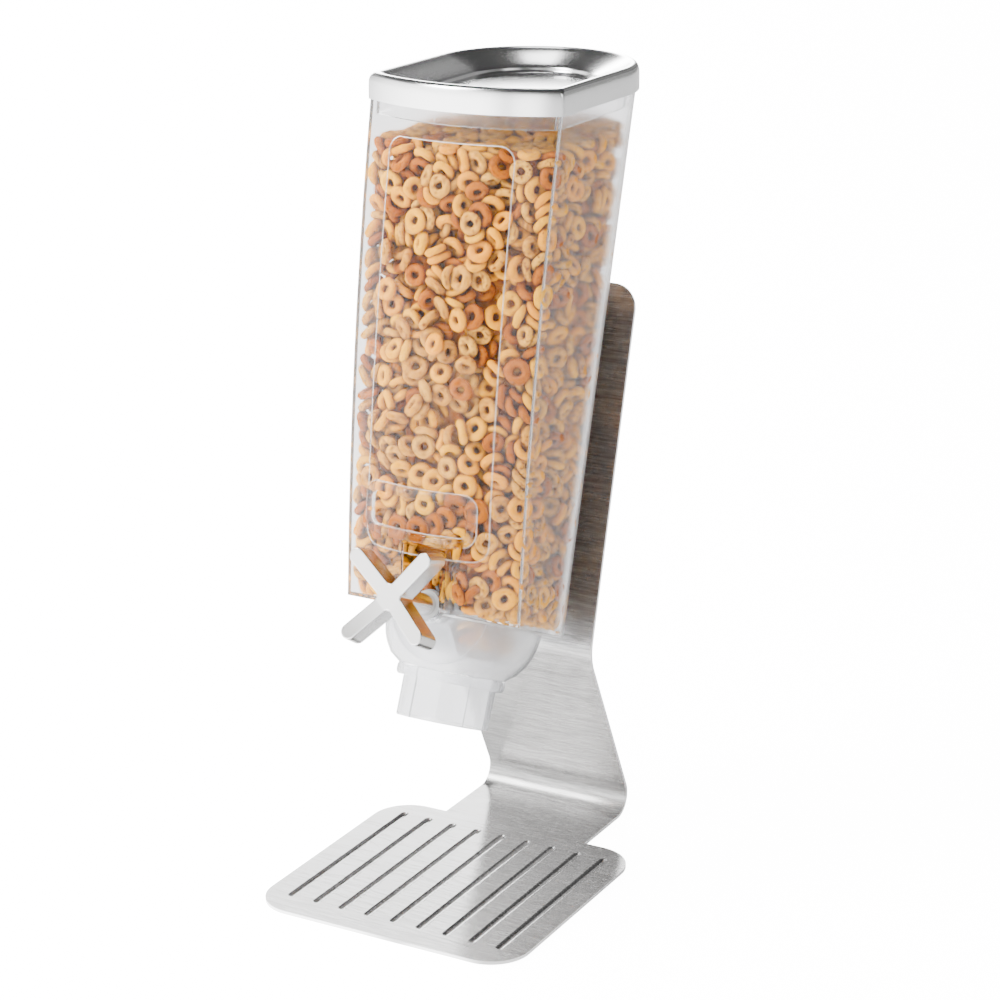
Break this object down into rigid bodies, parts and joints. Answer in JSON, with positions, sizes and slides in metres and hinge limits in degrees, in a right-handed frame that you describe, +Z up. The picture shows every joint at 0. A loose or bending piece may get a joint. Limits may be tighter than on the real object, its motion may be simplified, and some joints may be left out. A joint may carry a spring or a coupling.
{
  "type": "cereal dispenser",
  "caption": "Counter-top cereal dispenser: clear leaning hopper with a lift-off metal lid, hung on a bent brushed steel stand, with a cross knob that turns a portion wheel over a tilted spout.",
  "frame": {"origin": "centre of the whole dispenser's footprint, on the surface that the foot pads stand on", "axes": "+X across the base plate, +Y from the knob towards the hanging strip at the back, +Z up"},
  "size_m": [0.17, 0.243, 0.4688],
  "materials": {
    "brushed_steel": "fine brushed grain across the width, polished cut edges",
    "polished_steel": "polished with a satin band",
    "brushed_nickel": "satin cast metal with bright edges",
    "fastener_steel": "plain bright",
    "clear_plastic": "clear moulded plastic, frosted outside the front window",
    "milky_plastic": "translucent",
    "nylon": "moulded",
    "silicone": "soft matte",
    "rubber": "matte"
  },
  "bodies": {
    "stand": {"stand_sheet": "brushed_steel", "foot_pad_front_left": "rubber", "foot_pad_front_right": "rubber", "foot_pad_middle_left": "rubber", "foot_pad_middle_right": "rubber", "foot_pad_back_left": "rubber", "foot_pad_back_right": "rubber", "hanger_bracket": "fastener_steel", "bracket_screw_left": "fastener_steel", "bracket_screw_right": "fastener_steel", "bracket_nut_left": "fastener_steel", "bracket_nut_right": "fastener_steel", "rear_bumper": "rubber"},
    "hopper": {"hopper": "clear_plastic", "rear_socket": "clear_plastic", "front_bushing": "nylon", "rear_bushing": "nylon", "funnel_housing": "milky_plastic", "housing_seal": "silicone", "wheel_chamber": "milky_plastic"},
    "wheel": {"shaft": "fastener_steel", "wheel_core": "nylon", "portion_wheel": "silicone", "wheel_washer_front": "nylon", "wheel_washer_rear": "nylon", "shaft_clip": "fastener_steel", "knob": "brushed_nickel", "knob_set_screw": "fastener_steel"},
    "lid": {"lid_shell": "polished_steel", "lid_plug": "nylon", "lid_gasket": "silicone"},
    "spout": {"spout_insert": "milky_plastic"}
  },
  "joints": [
    {"name": "hopper_lift", "type": "slide", "parent": "stand", "child": "hopper", "axis": [0, 0.255, 0.9669], "range_m": [0, 0.06]},
    {"name": "lid_lift", "type": "slide", "parent": "hopper", "child": "lid", "axis": [0, 0.2164, 0.9763], "range_m": [0, 0.06]},
    {"name": "wheel_turn", "type": "hinge", "parent": "hopper", "child": "wheel", "pos_m": [0, -0.069, 0.1849], "axis": [0, 0.9171, -0.3987], "continuous": true},
    {"name": "spout_pull", "type": "slide", "parent": "hopper", "child": "spout", "axis": [0, -0.3987, -0.9171], "range_m": [0, 0.03]}
  ]
}
